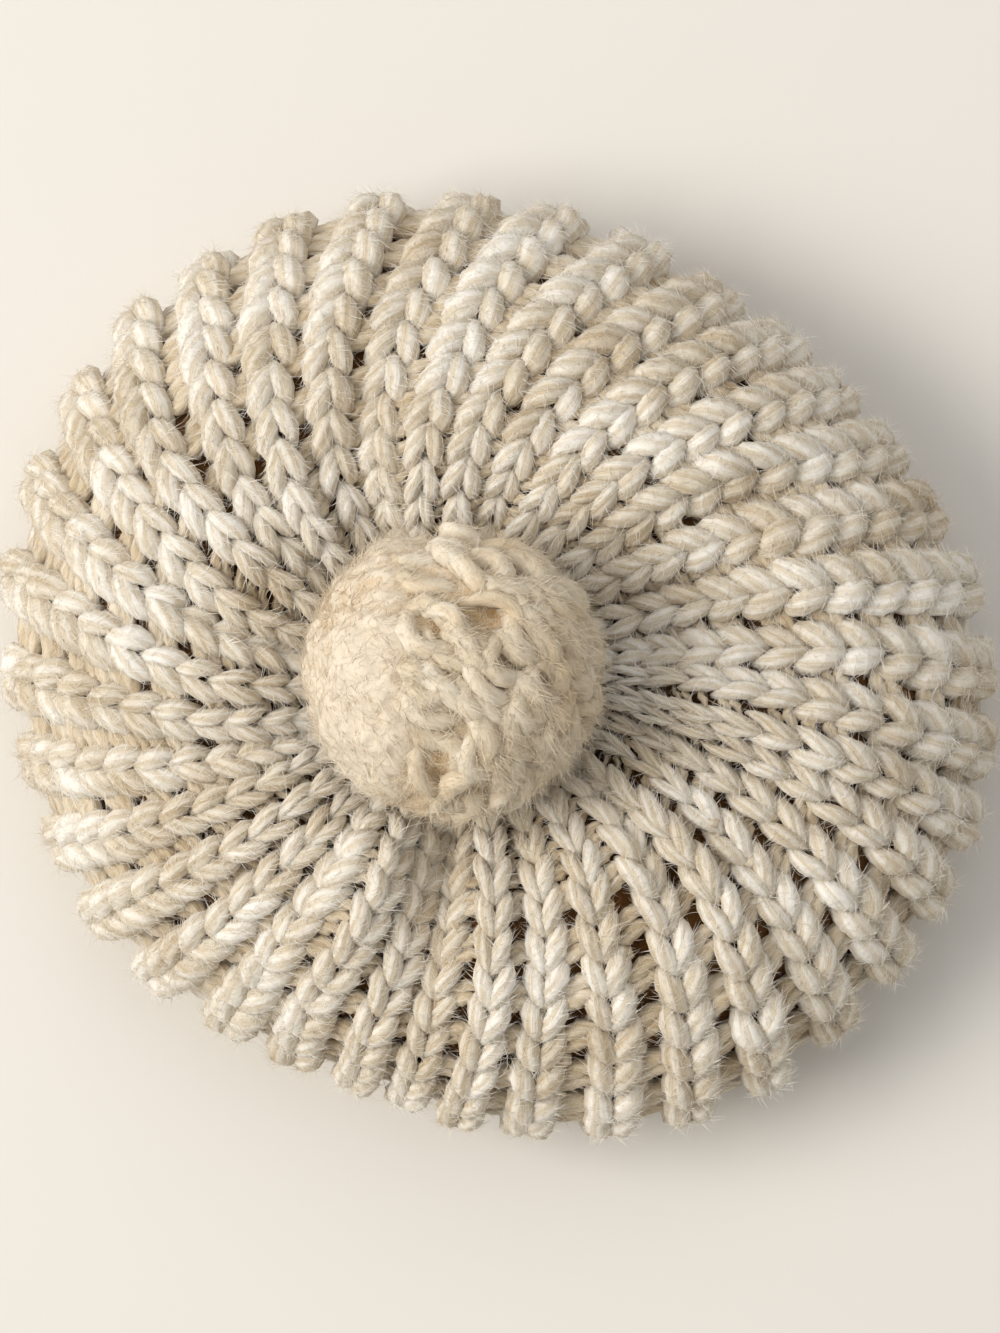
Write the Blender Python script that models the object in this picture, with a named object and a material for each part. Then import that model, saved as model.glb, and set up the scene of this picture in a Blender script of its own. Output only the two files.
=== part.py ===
"""A chunky ribbed beret with a gathered top and a yarn pompom, for Blender 4.5.

Metres, +Z up. The beret lies on its head band on the plane z = 0, with the origin under the middle
of its outline. +X is to the right and +Y away as the top is looked down on.
"""

import math

import bmesh
import bpy
import numpy as np
from mathutils import Vector

# Crown: the knitted body, from the drawn-up gather over the rim and under to the head band.
CROWN_RADIUS = 0.1295
CROWN_HEIGHT = 0.070
RIM_HEIGHT = 0.033
WALL = 0.0055
RIB_COUNT = 36
RIB_DEPTH = 0.004
RIB_FOOT_SHARE = 0.62
RIB_CREST_SHARE = 0.34
FOLD_DEPTH = 0.009

# Gather: where the ribs are drawn together, under the pompom.
GATHER_X = -0.0119
GATHER_Y = -0.00145
GATHER_RADIUS = 0.0065

# Head band: the narrower ribbing that the crown is worked from.
BAND_RADIUS = 0.086
BAND_WALL = 0.007
BAND_HEIGHT = 0.024
BAND_RIB_DEPTH = 0.0015
BAND_ROUNDING = 0.002

# Pompom: a wound ball of yarn, in locks, with a flat base where it is tied down.
POMPOM_WIDTH = 0.073
POMPOM_HEIGHT = 0.063
POMPOM_BASE = 0.0012
LOCK_COUNT = 46
LOCK_LENGTH = 0.030
LOCK_WIDTH = 0.0135
LOCK_DEPTH = 0.0032
LOCK_SWIRL_AXIS = (-0.55, 0.25, 0.80)
LOCK_SPREAD_SHARE = 0.5
LOCK_SEED = 7

# Pieces that touch keep this gap.
SEAT_GAP = 0.0003

# How finely the surfaces are cut into facets.
INNER_POINTS_PER_RIB = 2
POMPOM_SEGMENTS = 48
POMPOM_RINGS = 26

# Sections of the crown's top: reach is the share of the way from the gather to the rim, height the
# share of CROWN_HEIGHT, ribs the share of RIB_DEPTH. The first row's reach is GATHER_RADIUS.
TOP_SECTIONS = [
    # name,      reach, height, ribs
    ("gather",   0.00,  0.800,  0.00),
    ("neck",     0.06,  0.765,  0.35),
    ("pleats",   0.16,  0.785,  0.50),
    ("shoulder", 0.30,  0.900,  0.85),
    ("top",      0.47,  1.000,  1.00),
    ("slope",    0.65,  0.970,  1.00),
    ("fall",     0.81,  0.865,  1.00),
    ("brow",     0.93,  0.700,  1.00),
]

# Sections of the crown's underside: reach is the share of the way from the band to the rim, height
# the share of RIM_HEIGHT.
UNDER_SECTIONS = [
    # name,      reach, height, ribs
    ("rim",      1.00,  1.000,  1.00),
    ("tuck",     0.95,  0.560,  0.90),
    ("sole",     0.74,  0.150,  0.70),
    ("turn",     0.40,  0.420,  0.50),
]

# The beret seen from above, by the ribs' own angle: shift moves a rib's foot round the rim and lean
# turns its inner end about the gather, both in degrees, and reach is the rim's distance from the
# gather as a share of CROWN_RADIUS.
ROUND = [
    # angle, shift, lean, reach
    (0,      -4.0,   6,   1.085),
    (30,     -7.0,  13,   1.005),
    (60,    -10.0,  21,   0.940),
    (90,     -7.5,  25,   0.945),
    (120,    -4.0,  25,   0.962),
    (150,    -1.0,  22,   0.942),
    (180,     6.0,  14,   0.886),
    (210,    10.0,   6,   0.868),
    (240,    12.0,   4,   0.840),
    (270,     4.5,  14,   0.915),
    (300,     3.0,  20,   1.030),
    (330,     1.0,  15,   1.070),
]
LEAN_END_SHARE = 0.35

# Dents (negative) and swells (positive) of the top: angle and half width in degrees of the ribs'
# own angle, start and end as shares of the way to the rim, depth as a share of FOLD_DEPTH.
FOLDS = [
    # name,             angle, width, start, end,  depth
    ("right_hollow",    14,    15,    0.16,  0.66, -1.00),
    ("right_crease",    30,     7,    0.20,  1.00, -0.45),
    ("upper_pleat",     64,     7,    0.12,  0.46, -0.45),
    ("upper_left_dent", 103,   12,    0.16,  0.62, -0.80),
    ("left_pleat",      122,    7,    0.12,  0.55, -0.45),
    ("far_left_pleat",  151,    7,    0.12,  0.62, -0.55),
    ("lower_left_swell", 165,  14,    0.30,  0.90,  0.25),
    ("side_pleat",      181,    7,    0.12,  0.60, -0.45),
    ("flap",            231,   10,    0.20,  0.82,  0.95),
    ("flap_groove",     250,   10,    0.16,  0.80, -1.00),
    ("lower_swell",     285,   15,    0.25,  0.80,  0.40),
    ("lower_pleat",     300,    7,    0.12,  0.60, -0.55),
    ("right_pleat",     325,    8,    0.16,  0.85, -0.45),
    ("right_ridge",     348,   11,    0.20,  0.95,  0.65),
]

WOOL = (0.82, 0.74, 0.62)
POMPOM_WOOL = (0.87, 0.79, 0.66)
WOOL_ROUGHNESS = 0.95

# What is worked out from the sizes above.
GATHER = Vector((GATHER_X, GATHER_Y))
RIB_PITCH = 360 / RIB_COUNT
HEM_HEIGHT = BAND_HEIGHT + SEAT_GAP
HEM_RADIUS = BAND_RADIUS - BAND_WALL
OVER_BAND_RADIUS = BAND_RADIUS + BAND_RIB_DEPTH + BAND_ROUNDING
LAST_ROW = len(TOP_SECTIONS) + len(UNDER_SECTIONS) + 1
RIM_ROW = len(TOP_SECTIONS)


def clear_scene():
    """Removes whatever the file holds, such as the startup cube."""
    for obj in list(bpy.data.objects):
        bpy.data.objects.remove(obj, do_unlink=True)


def round_value(column, angle):
    """A column of ROUND at an angle in degrees, smoothly and right round."""
    step = 360 / len(ROUND)
    place = (angle % 360) / step
    row = int(place)
    part = place - row
    before, here, after, beyond = (ROUND[(row + k) % len(ROUND)][column] for k in (-1, 0, 1, 2))
    slope_here = (after - before) / 2
    slope_after = (beyond - here) / 2
    square, cube = part * part, part * part * part
    return (
        here * (2 * cube - 3 * square + 1)
        + slope_here * (cube - 2 * square + part)
        + after * (3 * square - 2 * cube)
        + slope_after * (cube - square)
    )


def level_slopes(values):
    """Slopes at evenly spaced values that never overshoot them: flat at a turning point."""
    steps = [after - before for before, after in zip(values, values[1:])]
    slopes = [steps[0]]
    for before, after in zip(steps, steps[1:]):
        slopes.append(0.0 if before * after <= 0 else 2 * before * after / (before + after))
    return slopes + [steps[-1]]


def row_value(values, place):
    """The values at the rows' places 0, 1, 2 and so on, joined smoothly with no overshoot."""
    slopes = level_slopes(values)
    row = min(int(place), len(values) - 2)
    part = place - row
    square, cube = part * part, part * part * part
    return (
        values[row] * (2 * cube - 3 * square + 1)
        + slopes[row] * (cube - 2 * square + part)
        + values[row + 1] * (3 * square - 2 * cube)
        + slopes[row + 1] * (cube - square)
    )


def window(share):
    """A soft bump: 1 at share 0, falling to 0 at share -1 and 1."""
    return 0.0 if abs(share) >= 1 else (1 - share * share) ** 2


def fold_height(angle, reach):
    """How far the folds raise or lower the top at a rib angle and a share of the way to the rim."""
    height = 0.0
    for _, fold_angle, width, start, end, depth in FOLDS:
        across = ((angle - fold_angle + 180) % 360 - 180) / width
        along = (2 * reach - start - end) / (end - start)
        height += depth * FOLD_DEPTH * window(across) * window(along)
    return height


def rim_point(angle):
    """Where a rib's path crosses the rim, seen from above."""
    turned = math.radians(angle + round_value(1, angle))
    return GATHER + Vector((math.cos(turned), math.sin(turned))) * CROWN_RADIUS * round_value(3, angle)


def top_point(angle, reach, height):
    """A point of the top: the rib's path leans more as it nears the gather."""
    lean = round_value(2, angle) * min(1.0, (1 - reach) / (1 - LEAN_END_SHARE))
    turned = math.radians(angle + round_value(1, angle) + lean)
    far = GATHER_RADIUS + (CROWN_RADIUS * round_value(3, angle) - GATHER_RADIUS) * reach
    flat = GATHER + Vector((math.cos(turned), math.sin(turned))) * far
    return Vector((flat.x, flat.y, height * CROWN_HEIGHT + fold_height(angle, reach)))


def under_point(angle, reach, height):
    """A point of the underside, between the head band and the rim."""
    turned = math.radians(angle)
    hem = Vector((math.cos(turned), math.sin(turned))) * OVER_BAND_RADIUS
    flat = hem.lerp(rim_point(angle), reach)
    return Vector((flat.x, flat.y, height * RIM_HEIGHT))


def hem_point(angle, radius):
    """A point of the crown's edge, which lies on the head band."""
    turned = math.radians(angle)
    return Vector((math.cos(turned) * radius, math.sin(turned) * radius, HEM_HEIGHT))


def meridian(angle):
    """The crown's outline up one rib angle: its points, and the ribs' share at each."""
    points = [top_point(angle, reach, height) for _, reach, height, _ in TOP_SECTIONS]
    points += [under_point(angle, reach, height) for _, reach, height, _ in UNDER_SECTIONS]
    points += [hem_point(angle, OVER_BAND_RADIUS), hem_point(angle, HEM_RADIUS)]
    ribs = [row[3] for row in TOP_SECTIONS + UNDER_SECTIONS] + [0.0, 0.0]
    return points, ribs


def crown_grid(angles, places):
    """Points, outward normals and rib shares of the crown at each place along each rib angle."""
    points = np.zeros((len(angles), len(places), 3))
    ribs = np.zeros((len(angles), len(places)))
    for i, angle in enumerate(angles):
        rows, shares = meridian(angle)
        columns = [[point[axis] for point in rows] for axis in range(3)]
        for j, place in enumerate(places):
            points[i, j] = [row_value(column, place) for column in columns]
            ribs[i, j] = row_value(shares, place)
    along = np.gradient(points, axis=1)
    around = np.roll(points, -1, axis=0) - np.roll(points, 1, axis=0)
    normals = np.cross(along, around)
    normals /= np.linalg.norm(normals, axis=2, keepdims=True)
    return points, normals, ribs


def rib_profile():
    """Angle offsets within one rib's pitch, and the rib's height there: channel, crest, channel."""
    foot = RIB_FOOT_SHARE / 2 * RIB_PITCH
    crest = RIB_CREST_SHARE / 2 * RIB_PITCH
    return [(-foot, 0.0), (-crest, 1.0), (crest, 1.0), (foot, 0.0)]


def ribbed_angles():
    """Every angle round the ribs, and the rib's height there."""
    places = [(rib, offset, height) for rib in range(RIB_COUNT) for offset, height in rib_profile()]
    return [(rib + 0.5) * RIB_PITCH + offset for rib, offset, _ in places], [row[2] for row in places]


def plain_angles():
    """Every angle round the inside, which has no ribs."""
    return [i * RIB_PITCH / INNER_POINTS_PER_RIB for i in range(RIB_COUNT * INNER_POINTS_PER_RIB)]


def add_rings(bm, points):
    """Adds vertices for an array of points by (angle, place) and returns them as rings."""
    return [[bm.verts.new(points[i, j]) for i in range(points.shape[0])] for j in range(points.shape[1])]


def skin(bm, rings, flip=False):
    """Quads between rings of the same count."""
    for lower, upper in zip(rings, rings[1:]):
        count = len(lower)
        for i in range(count):
            k = (i + 1) % count
            corners = (lower[i], upper[i], upper[k], lower[k])
            bm.faces.new(tuple(reversed(corners)) if flip else corners)


def join_fine_to_coarse(bm, fine, coarse, flip=False):
    """Triangles between a ring and one with half as many points."""
    count = len(coarse)
    for i in range(count):
        k = (i + 1) % count
        first, middle, last = fine[2 * i], fine[2 * i + 1], fine[(2 * i + 2) % len(fine)]
        for corners in (
            (first, coarse[i], middle),
            (middle, coarse[i], last),
            (last, coarse[i], coarse[k]),
        ):
            bm.faces.new(tuple(reversed(corners)) if flip else corners)


def close_end(bm, ring, flip=False):
    """A fan that closes a ring at its middle."""
    middle = bm.verts.new(sum((v.co for v in ring), Vector()) / len(ring))
    for i, vert in enumerate(ring):
        after = ring[(i + 1) % len(ring)]
        corners = (middle, vert, after)
        bm.faces.new(tuple(reversed(corners)) if flip else corners)


def finish(bm, name, material, sharp_degrees=50):
    """Makes the object from a bmesh, with its faces turned outwards and shaded smooth."""
    bmesh.ops.recalc_face_normals(bm, faces=bm.faces)
    mesh = bpy.data.meshes.new(name)
    bm.to_mesh(mesh)
    bm.free()
    mesh.shade_smooth()
    mesh.set_sharp_from_angle(angle=math.radians(sharp_degrees))
    mesh.materials.append(material)
    obj = bpy.data.objects.new(name, mesh)
    bpy.context.scene.collection.objects.link(obj)
    return obj


def wool_material(name, colour):
    """Soft undyed wool, with no shine."""
    material = bpy.data.materials.new(name)
    material.use_nodes = True
    shader = material.node_tree.nodes["Principled BSDF"]
    shader.inputs["Base Color"].default_value = (*colour, 1)
    shader.inputs["Roughness"].default_value = WOOL_ROUGHNESS
    shader.inputs["Metallic"].default_value = 0.0
    return material


def make_crown(material):
    """The hollow ribbed body: ribs outside, plain inside, closed at the gather, open at the band."""
    angles, heights = ribbed_angles()
    rows = [float(row) for row in range(LAST_ROW + 1)]
    between = [1.5, 2.5, 3.5, RIM_ROW - 1.5, RIM_ROW - 0.5, RIM_ROW + 0.5]
    points, normals, ribs = crown_grid(angles, sorted(rows + between))
    rise = ribs * np.array(heights)[:, None] * RIB_DEPTH
    outside = points + normals * rise[..., None]
    points, normals, _ = crown_grid(plain_angles(), rows)
    inside = points - normals * WALL

    bm = bmesh.new()
    outer_rings = add_rings(bm, outside)
    inner_rings = add_rings(bm, inside)
    skin(bm, outer_rings)
    skin(bm, inner_rings, flip=True)
    close_end(bm, outer_rings[0])
    close_end(bm, inner_rings[0], flip=True)
    join_fine_to_coarse(bm, outer_rings[-1], inner_rings[-1])
    return finish(bm, "crown", material)


def band_ring(bm, angles, radii, level):
    """A ring of vertices round the head band's axis."""
    turned = [math.radians(angle) for angle in angles]
    return [bm.verts.new((math.cos(a) * r, math.sin(a) * r, level)) for a, r in zip(turned, radii)]


def make_band(material):
    """The ribbed head band, flat on its lower edge."""
    levels = [0.0, BAND_ROUNDING, BAND_HEIGHT - BAND_ROUNDING, BAND_HEIGHT]
    rib_depths = [0.0, BAND_RIB_DEPTH, BAND_RIB_DEPTH, 0.0]
    bm = bmesh.new()
    outer_rings = []
    for level, depth in zip(levels, rib_depths):
        foot = BAND_RADIUS - BAND_RIB_DEPTH + depth
        radii = [foot + height * depth for height in ribbed_angles()[1]]
        outer_rings.append(band_ring(bm, ribbed_angles()[0], radii, level))
    inner_rings = []
    for level in (0.0, BAND_HEIGHT):
        inner_rings.append(band_ring(bm, plain_angles(), [HEM_RADIUS] * len(plain_angles()), level))
    skin(bm, outer_rings)
    skin(bm, inner_rings, flip=True)
    join_fine_to_coarse(bm, outer_rings[0], inner_rings[0])
    join_fine_to_coarse(bm, outer_rings[-1], inner_rings[-1], flip=True)
    return finish(bm, "head_band", material)


def lock_places():
    """The middle and the run of each lock, spread evenly over the ball and swirling round it."""
    chance = np.random.default_rng(LOCK_SEED)
    golden_turn = math.pi * (3 - math.sqrt(5))
    places = []
    for i in range(LOCK_COUNT):
        z = 1 - 2 * (i + 0.5) / LOCK_COUNT
        flat = math.sqrt(1 - z * z)
        middle = Vector((flat * math.cos(i * golden_turn), flat * math.sin(i * golden_turn), z))
        run = Vector(LOCK_SWIRL_AXIS).cross(middle) + Vector(chance.uniform(-1, 1, 3)) * LOCK_SPREAD_SHARE
        places.append((middle, (run - middle * run.dot(middle)).normalized()))
    return places


def lock_height(direction, places, radius):
    """The share of LOCK_DEPTH that the locks leave at a direction from the ball's middle."""
    height = 0.0
    for middle, run in places:
        offset = (direction - middle) * radius
        along = offset.dot(run) / (LOCK_LENGTH / 2)
        across = offset.dot(middle.cross(run)) / (LOCK_WIDTH / 2)
        if direction.dot(middle) > 0:
            height = max(height, math.sqrt(max(0.0, 1 - along * along - across * across)))
    return height


def make_pompom(material):
    """The ball of yarn: locks fused over a core, within the pompom's own width and height."""
    half_width, half_height = POMPOM_WIDTH / 2, POMPOM_HEIGHT / 2
    gather_top = TOP_SECTIONS[0][2] * CROWN_HEIGHT
    middle_z = gather_top + SEAT_GAP + half_height - POMPOM_BASE
    places = lock_places()
    bm = bmesh.new()
    bmesh.ops.create_uvsphere(bm, u_segments=POMPOM_SEGMENTS, v_segments=POMPOM_RINGS, radius=1.0)
    for vert in bm.verts:
        direction = vert.co.normalized()
        sunk = (1 - lock_height(direction, places, half_width)) * LOCK_DEPTH
        vert.co = Vector(
            (
                direction.x * (half_width - sunk),
                direction.y * (half_width - sunk),
                max(direction.z * (half_height - sunk), POMPOM_BASE - half_height),
            )
        )
    pompom = finish(bm, "pompom", material)
    pompom.location = (GATHER_X, GATHER_Y, middle_z)
    return pompom


def main():
    clear_scene()
    wool = wool_material("undyed_wool", WOOL)
    pompom_wool = wool_material("pompom_wool", POMPOM_WOOL)
    make_crown(wool)
    make_band(wool)
    make_pompom(pompom_wool)


main()
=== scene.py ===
"""The looks of a chunky ribbed beret in undyed wool, with a yarn pompom on its gathered top.

The knitting is made stitch by stitch. Each rib is a column of V stitches, each channel a ladder of
bars with gaps between them, and every strand is plied yarn with a nap of fine fibres.
"""

import math

import bpy
import numpy as np
from bpy.props import FloatProperty, IntProperty, PointerProperty, StringProperty
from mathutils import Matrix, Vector, noise


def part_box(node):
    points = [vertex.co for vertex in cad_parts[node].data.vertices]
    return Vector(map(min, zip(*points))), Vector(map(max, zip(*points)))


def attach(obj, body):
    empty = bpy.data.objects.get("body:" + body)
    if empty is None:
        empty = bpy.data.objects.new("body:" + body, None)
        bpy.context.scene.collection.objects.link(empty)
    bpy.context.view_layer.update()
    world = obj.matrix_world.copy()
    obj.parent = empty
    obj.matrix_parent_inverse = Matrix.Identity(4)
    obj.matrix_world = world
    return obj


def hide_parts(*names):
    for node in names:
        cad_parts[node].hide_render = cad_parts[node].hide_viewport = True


bl_info = {
    "name": "Ribbed beret",
    "version": (1, 0, 0),
    "blender": (4, 5, 0),
    "location": "View3D > Sidebar > Beret",
    "description": "Knits a chunky ribbed beret with a pompom round its solid model",
    "category": "Add Mesh",
}

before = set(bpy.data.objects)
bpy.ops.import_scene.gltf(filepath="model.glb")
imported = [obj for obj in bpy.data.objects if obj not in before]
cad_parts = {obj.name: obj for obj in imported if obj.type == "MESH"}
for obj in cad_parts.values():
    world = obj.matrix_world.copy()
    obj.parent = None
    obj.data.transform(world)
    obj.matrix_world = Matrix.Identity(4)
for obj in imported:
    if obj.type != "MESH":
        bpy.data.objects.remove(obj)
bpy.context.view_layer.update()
CROWN_LOW, CROWN_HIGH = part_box("crown")
BAND_LOW, BAND_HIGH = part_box("head_band")
POMPOM_LOW, POMPOM_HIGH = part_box("pompom")

# The form of the knitting, as in the solid crown. The tables hold shares and degrees.
RIB_COUNT = 36
RIB_PITCH = 360 / RIB_COUNT
RIM_SHARE = 0.982
HEIGHT_SHARE = 0.8713
RIM_HEIGHT = 0.033
RIB_DEPTH = 0.004
FOLD_DEPTH = 0.009
GATHER = (-0.0119, -0.00145)
GATHER_RADIUS = 0.0065
HEM_EASE = 0.002
# The last half millimetre above the floor is where wool is pressed flat by the beret's weight.
PRESSED_HEIGHT = 0.0005
FLOOR_EASE = 0.0002
LEAN_END_SHARE = 0.35

# Reach is the share of the way from the gather to the rim, height the share of the crown's height,
# ribs the share of RIB_DEPTH.
TOP_SECTIONS = [
    # name,      reach, height, ribs
    ("gather",   0.00,  0.800,  0.00),
    ("neck",     0.06,  0.765,  0.35),
    ("pleats",   0.16,  0.785,  0.50),
    ("shoulder", 0.30,  0.900,  0.85),
    ("top",      0.47,  1.000,  1.00),
    ("slope",    0.65,  0.970,  1.00),
    ("fall",     0.81,  0.865,  1.00),
    ("brow",     0.93,  0.700,  1.00),
]

# Reach is the share of the way from the band to the rim, height the share of RIM_HEIGHT.
UNDER_SECTIONS = [
    # name,      reach, height, ribs
    ("rim",      1.00,  1.000,  1.00),
    ("tuck",     0.95,  0.560,  0.90),
    ("sole",     0.74,  0.150,  0.70),
    ("turn",     0.40,  0.420,  0.50),
]

# By the ribs' own angle: how a rib's foot is shifted round the rim and how its inner end leans, in
# degrees, the rim's distance from the gather as a share of the crown's radius, and a rib's width as a
# share of the ribs' pitch.
ROUND = [
    # angle, shift, lean, reach, width
    (0,      -4.0,   6,   1.085, 0.93),
    (30,     -7.0,  13,   1.005, 0.97),
    (60,    -10.0,  21,   0.940, 0.98),
    (90,     -7.5,  25,   0.945, 0.93),
    (120,    -4.0,  25,   0.962, 0.87),
    (150,    -1.0,  22,   0.942, 0.87),
    (180,     6.0,  14,   0.886, 0.88),
    (210,    10.0,   6,   0.868, 0.88),
    (240,    12.0,   4,   0.840, 0.86),
    (270,     4.5,  14,   0.915, 0.80),
    (300,     3.0,  20,   1.030, 0.81),
    (330,     1.0,  15,   1.070, 0.87),
]

# Near the gather the ribs press on each other. Their share of the pitch falls to the one in ROUND
# from the first of these pitches to the second, and a rib eases off again at the rim.
PRESSED_SHARE = 0.99
PRESSED_PITCH = 0.009
OPEN_PITCH = 0.015
RIM_EASE = 0.10
EASE_START = 0.7
EASE_LENGTH = 0.3
MOST_STRETCH = 1.36

# Dents and swells: angle and half width in degrees of the ribs' own angle, start and end as shares
# of the way to the rim, depth as a share of FOLD_DEPTH.
FOLDS = [
    # name,             angle, width, start, end,  depth
    ("right_hollow",    14,    15,    0.16,  0.66, -1.00),
    ("right_crease",    30,     7,    0.20,  1.00, -0.45),
    ("upper_pleat",     64,     7,    0.12,  0.46, -0.45),
    ("upper_left_dent", 103,   12,    0.16,  0.62, -0.80),
    ("left_pleat",      122,    7,    0.12,  0.55, -0.45),
    ("far_left_pleat",  151,    7,    0.12,  0.62, -0.55),
    ("lower_left_swell", 165,  14,    0.30,  0.90,  0.25),
    ("side_pleat",      181,    7,    0.12,  0.60, -0.45),
    ("flap",            231,   10,    0.20,  0.82,  0.95),
    ("flap_groove",     250,   10,    0.16,  0.80, -1.00),
    ("lower_swell",     285,   15,    0.25,  0.80,  0.40),
    ("lower_pleat",     300,    7,    0.12,  0.60, -0.55),
    ("right_pleat",     325,    8,    0.16,  0.85, -0.45),
    ("right_ridge",     348,   11,    0.20,  0.95,  0.65),
]

# One leg of a V stitch. Along is in stitches towards the gather, across a share of the leg's spread,
# rise and thickness shares of the yarn's radius.
LEG = [
    # along, across, rise,  thickness
    (-0.36,  0.06,   -1.20, 0.35),
    (-0.17,  0.13,   -0.55, 0.66),
    (0.06,   0.34,   -0.08, 0.90),
    (0.32,   0.65,    0.12, 1.04),
    (0.58,   0.96,    0.06, 1.04),
    (0.83,   1.16,   -0.30, 0.88),
    (1.04,   1.08,   -0.95, 0.60),
    (1.19,   0.86,   -1.60, 0.32),
]

# The bars of a channel's stitch, from the rib on one side to the rib on the other. Across is a share
# of half the channel, and past 1 of how far a bar goes into a rib. Sink is a share of the channel's
# depth. Bar 2 ends at the gap where there is one, and dives there.
BARS = [
    # bar, along, across, sink,  thickness
    (0,    0.54,  -1.90,  0.60,  0.60),
    (0,    0.60,  -1.00,  0.55,  0.95),
    (0,    0.66,   0.00,  0.75,  1.05),
    (0,    0.72,   1.00,  0.55,  0.95),
    (0,    0.66,   1.90,  0.60,  0.60),
    (1,    0.82,  -1.90,  0.60,  0.60),
    (1,    0.85,  -1.00,  0.65,  0.95),
    (1,    0.92,   0.00,  0.90,  1.08),
    (1,    0.97,   1.00,  0.65,  0.95),
    (1,    0.96,   1.90,  0.60,  0.60),
    (2,    0.22,  -1.90,  0.50,  0.65),
    (2,    0.26,  -1.00,  0.45,  1.00),
    (2,    0.30,   0.10,  0.60,  1.15),
    (2,    0.35,   1.00,  0.60,  0.95),
    (2,    0.32,   1.90,  0.60,  0.60),
]
BURY = 0.003
DIVE = 0.0022
# The channels lie deeper at the rim, so the ribs' ends stand out of the outline.
RIM_DIP = 0.0026
RIM_DIP_REACH = 0.25

# How many of a channel's stitches have a gap, as a share. It also widens the gaps.
OPEN = [
    # angle, share
    (0,   1.20), (10,  0.85), (20,  0.80), (30,  0.35), (40,  0.75), (50,  0.55),
    (60,  0.55), (70,  0.75), (80,  0.80), (90,  0.45), (100, 0.85), (110, 0.95),
    (120, 1.05), (130, 0.85), (140, 0.75), (150, 0.70), (160, 0.65), (170, 0.60),
    (180, 0.55), (190, 0.55), (200, 0.45), (210, 0.50), (220, 0.45), (230, 0.55),
    (240, 0.50), (250, 0.65), (260, 0.95), (270, 0.95), (280, 0.85), (290, 0.75),
    (300, 0.95), (310, 0.95), (320, 1.05), (330, 1.10), (340, 0.35), (350, 0.65),
]
# A gap's width is this times a sure part and a part that grows with the channel's share in OPEN.
GAP_WIDTH = 0.0046
SURE_PART = 0.6
GROWING_PART = 0.4
FIRST_GAP_COURSE = 0.40


def clear_startup():
    """Removes the objects of Blender's own start-up file, which aren't part of the frame."""
    for name in ("Cube", "Light", "Camera"):
        if name in bpy.data.objects:
            bpy.data.objects.remove(bpy.data.objects[name], do_unlink=True)


def linear(code, alpha=1.0):
    """An sRGB hex colour as linear red, green, blue and alpha."""
    parts = [int(code[i:i + 2], 16) / 255 for i in (1, 3, 5)]
    return [p / 12.92 if p <= 0.04045 else ((p + 0.055) / 1.055) ** 2.4 for p in parts] + [alpha]


def add_node(tree, kind, settings=None, values=None, links=None):
    """Adds a node, sets its settings and input values, and links its inputs."""
    node = tree.nodes.new(kind)
    for key, value in (settings or {}).items():
        setattr(node, key, value)
    for key, value in (values or {}).items():
        node.inputs[key].default_value = value
    for key, source in (links or {}).items():
        tree.links.new(source, node.inputs[key])
    return node


# The surface that the knitting follows.


def round_column(column, angles):
    """A column of ROUND at an array of angles, smoothly and right round."""
    values = np.array([row[column] for row in ROUND], dtype=float)
    place = (angles % 360) / (360 / len(ROUND))
    row = place.astype(int)
    part = place - row
    before, here, after, beyond = (values[(row + k) % len(ROUND)] for k in (-1, 0, 1, 2))
    return hermite(here, (after - before) / 2, after, (beyond - here) / 2, part)


def hermite(here, slope_here, after, slope_after, part):
    """A cubic from one value and slope to the next."""
    square, cube = part ** 2, part ** 3
    return (
        here * (2 * cube - 3 * square + 1)
        + slope_here * (cube - 2 * square + part)
        + after * (3 * square - 2 * cube)
        + slope_after * (cube - square)
    )


def through_rows(rows, places):
    """Values at rows 0, 1, 2 and so on (first axis), read at places between, with no overshoot."""
    steps = np.diff(rows, axis=0)
    before, after = steps[:-1], steps[1:]
    total = before + after
    safe = np.where(total == 0, 1, total)
    level = np.where(before * after <= 0, 0, 2 * before * after / safe)
    slopes = np.concatenate([steps[:1], level, steps[-1:]])
    row = np.minimum(places.astype(int), len(rows) - 2)
    part = (places - row).reshape((-1,) + (1,) * (rows.ndim - 1))
    return hermite(rows[row], slopes[row], rows[row + 1], slopes[row + 1], part)


def window(share):
    """A soft bump: 1 at share 0, falling to 0 at share -1 and 1."""
    return np.where(np.abs(share) >= 1, 0, (1 - share ** 2) ** 2)


def fold_height(angles, reach):
    """How far the folds raise or lower the top."""
    height = np.zeros_like(angles)
    for _, fold_angle, width, start, end, depth in FOLDS:
        across = ((angles - fold_angle + 180) % 360 - 180) / width
        along = (2 * reach - start - end) / (end - start)
        height += depth * FOLD_DEPTH * window(across) * window(along)
    return height


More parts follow.
